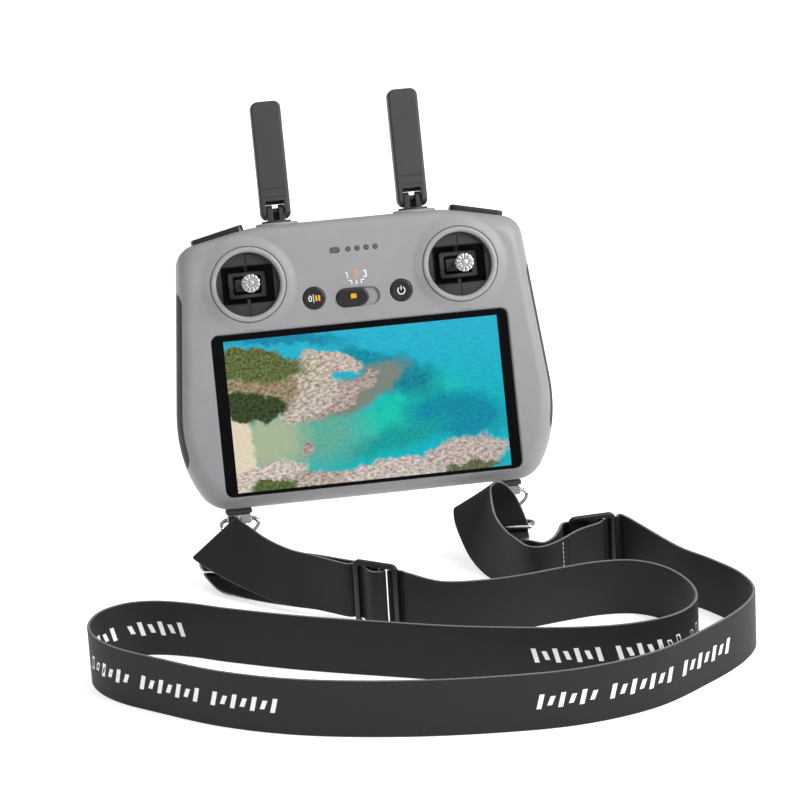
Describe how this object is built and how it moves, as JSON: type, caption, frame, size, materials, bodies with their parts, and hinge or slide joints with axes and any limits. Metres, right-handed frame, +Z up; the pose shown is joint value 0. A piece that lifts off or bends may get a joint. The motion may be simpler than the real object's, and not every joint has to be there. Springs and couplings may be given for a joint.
{
  "type": "handheld radio transmitter controller with neck strap",
  "caption": "Handheld radio controller with built-in screen, two thumb sticks, folding antennas, control buttons and a clip-on webbing neck strap with metal clasps.",
  "frame": {"origin": "middle of the two rear hand grips, where the controller is held; 20 mm behind the screen glass and 10 mm above its centre, measured in the leaned controller", "axes": "+X to the controller's right as seen from the front, +Y to the rear, +Z up from the surface the strap lies on; the controller leans back 21.6 degrees about +X"},
  "size_m": [0.2777, 0.2532, 0.197],
  "materials": {
    "body": "satin moulded",
    "trim": "satin moulded",
    "dark": "fine textured",
    "antenna": "fine textured",
    "rubber": "moulded matt",
    "glass": "polished cover glass, opaque black border",
    "display": "lit display",
    "silver": "turned and knurled",
    "chrome": "polished plating",
    "plate": "rolled sheet",
    "board": "solder mask",
    "battery": "wrapped pack",
    "lens": "clear moulded light guide",
    "webbing": "woven flat webbing"
  },
  "bodies": {
    "case": {"front_shell": "body", "rear_shell": "body", "stick_ring_left": "trim", "stick_ring_right": "trim", "gimbal_housing_left": "dark", "gimbal_housing_right": "dark", "bracket_tab_left": "dark", "bracket_tab_right": "dark", "strap_slider_left": "dark", "strap_slider_right": "dark", "speaker": "dark", "case_screw_low_left": "dark", "case_screw_high_left": "dark", "case_screw_low_right": "dark", "case_screw_high_right": "dark", "grip_left": "rubber", "grip_right": "rubber", "display_glass": "glass", "display_panel": "display", "bracket_lug_left": "chrome", "bracket_lug_right": "chrome", "strap_ring_left": "chrome", "strap_ring_right": "chrome", "clasp_hook_left": "chrome", "clasp_hook_right": "chrome", "clasp_eye_left": "chrome", "clasp_eye_right": "chrome", "mid_frame": "plate", "charge_port": "plate", "card_reader": "plate", "main_board": "board", "battery_pack": "battery", "status_lights": "lens", "strap_main": "webbing", "strap_end_left": "webbing", "strap_end_right": "webbing"},
    "yoke_left": {"gimbal_yoke_left": "dark"},
    "stick_left": {"stick_hub_left": "dark", "stick_left": "silver"},
    "yoke_right": {"gimbal_yoke_right": "dark"},
    "stick_right": {"stick_hub_right": "dark", "stick_right": "silver"},
    "home_button": {"home_button": "dark"},
    "power_button": {"power_button": "dark"},
    "mode_switch": {"mode_switch": "dark"},
    "record_button": {"record_button": "dark"},
    "shutter_button": {"shutter_button": "dark"},
    "rear_button_left": {"rear_button_left": "dark"},
    "rear_button_right": {"rear_button_right": "dark"},
    "tilt_dial": {"tilt_dial": "dark"},
    "camera_dial": {"camera_dial": "dark"},
    "antenna_foot_left": {"antenna_base_left": "antenna"},
    "antenna_left": {"antenna_paddle_left": "antenna", "antenna_pin_left": "silver"},
    "antenna_foot_right": {"antenna_base_right": "antenna"},
    "antenna_right": {"antenna_paddle_right": "antenna", "antenna_pin_right": "silver"},
    "clasp_gate_left": {"clasp_gate_left": "chrome"},
    "clasp_gate_right": {"clasp_gate_right": "chrome"}
  },
  "joints": [
    {"name": "stick_left_sideways", "type": "hinge", "parent": "case", "child": "yoke_left", "pos_m": [-0.047, 0.00696, 0.04747], "axis": [0, 0.3681, 0.9298], "range_deg": [-18, 18], "stiffness_Nm_per_rad": 0.06},
    {"name": "stick_left_up_down", "type": "hinge", "parent": "yoke_left", "child": "stick_left", "pos_m": [-0.047, 0.00696, 0.04747], "axis": [1, 0, 0], "range_deg": [-18, 18], "stiffness_Nm_per_rad": 0.06},
    {"name": "stick_right_sideways", "type": "hinge", "parent": "case", "child": "yoke_right", "pos_m": [0.047, 0.00696, 0.04747], "axis": [0, 0.3681, 0.9298], "range_deg": [-18, 18], "stiffness_Nm_per_rad": 0.06},
    {"name": "stick_right_up_down", "type": "hinge", "parent": "yoke_right", "child": "stick_right", "pos_m": [0.047, 0.00696, 0.04747], "axis": [1, 0, 0], "range_deg": [-18, 18], "stiffness_Nm_per_rad": 0.06},
    {"name": "home_button_press", "type": "slide", "parent": "case", "child": "home_button", "axis": [0, 0.9298, -0.3681], "range_m": [0, 0.0006], "stiffness_N_per_m": 400, "springref_m": -0.001},
    {"name": "power_button_press", "type": "slide", "parent": "case", "child": "power_button", "axis": [0, 0.9298, -0.3681], "range_m": [0, 0.0006], "stiffness_N_per_m": 400, "springref_m": -0.001},
    {"name": "mode_switch_slide", "type": "slide", "parent": "case", "child": "mode_switch", "axis": [1, 0, 0], "range_m": [0, 0.0046]},
    {"name": "record_button_press", "type": "slide", "parent": "case", "child": "record_button", "axis": [0.2216, -0.359, -0.9067], "range_m": [0, 0.001], "stiffness_N_per_m": 400, "springref_m": -0.001},
    {"name": "shutter_button_press", "type": "slide", "parent": "case", "child": "shutter_button", "axis": [-0.2216, -0.359, -0.9067], "range_m": [0, 0.001], "stiffness_N_per_m": 400, "springref_m": -0.001},
    {"name": "rear_button_left_press", "type": "slide", "parent": "case", "child": "rear_button_left", "axis": [0, -0.9298, 0.3681], "range_m": [0, 0.0008], "stiffness_N_per_m": 400, "springref_m": -0.001},
    {"name": "rear_button_right_press", "type": "slide", "parent": "case", "child": "rear_button_right", "axis": [0, -0.9298, 0.3681], "range_m": [0, 0.0008], "stiffness_N_per_m": 400, "springref_m": -0.001},
    {"name": "tilt_dial_turn", "type": "hinge", "parent": "case", "child": "tilt_dial", "pos_m": [-0.056, 0.02509, 0.04653], "axis": [0, 0.3681, 0.9298], "range_deg": [-25, 25], "stiffness_Nm_per_rad": 0.01},
    {"name": "camera_dial_turn", "type": "hinge", "parent": "case", "child": "camera_dial", "pos_m": [0.056, 0.02509, 0.04653], "axis": [0, 0.3681, 0.9298], "continuous": true},
    {"name": "antenna_left_swivel", "type": "hinge", "parent": "case", "child": "antenna_foot_left", "pos_m": [-0.0306, 0.02232, 0.0686], "axis": [0, 0.3681, 0.9298], "range_deg": [-90, 90]},
    {"name": "antenna_left_fold", "type": "hinge", "parent": "antenna_foot_left", "child": "antenna_left", "pos_m": [-0.0306, 0.02468, 0.07455], "axis": [-1, 0, 0], "range_deg": [0, 90]},
    {"name": "antenna_right_swivel", "type": "hinge", "parent": "case", "child": "antenna_foot_right", "pos_m": [0.0306, 0.02232, 0.0686], "axis": [0, 0.3681, 0.9298], "range_deg": [-90, 90]},
    {"name": "antenna_right_fold", "type": "hinge", "parent": "antenna_foot_right", "child": "antenna_right", "pos_m": [0.0306, 0.02468, 0.07455], "axis": [-1, 0, 0], "range_deg": [0, 90]},
    {"name": "clasp_gate_left_open", "type": "hinge", "parent": "case", "child": "clasp_gate_left", "pos_m": [-0.06245, -0.03282, -0.05852], "axis": [-0.9698, 0.1649, 0.1799], "range_deg": [0, 25], "stiffness_Nm_per_rad": 0.002, "springref_deg": -17.19},
    {"name": "clasp_gate_right_open", "type": "hinge", "parent": "case", "child": "clasp_gate_right", "pos_m": [0.0567, -0.03194, -0.05416], "axis": [-0.9484, 0.3084, -0.0732], "range_deg": [0, 25], "stiffness_Nm_per_rad": 0.002, "springref_deg": -17.19}
  ]
}
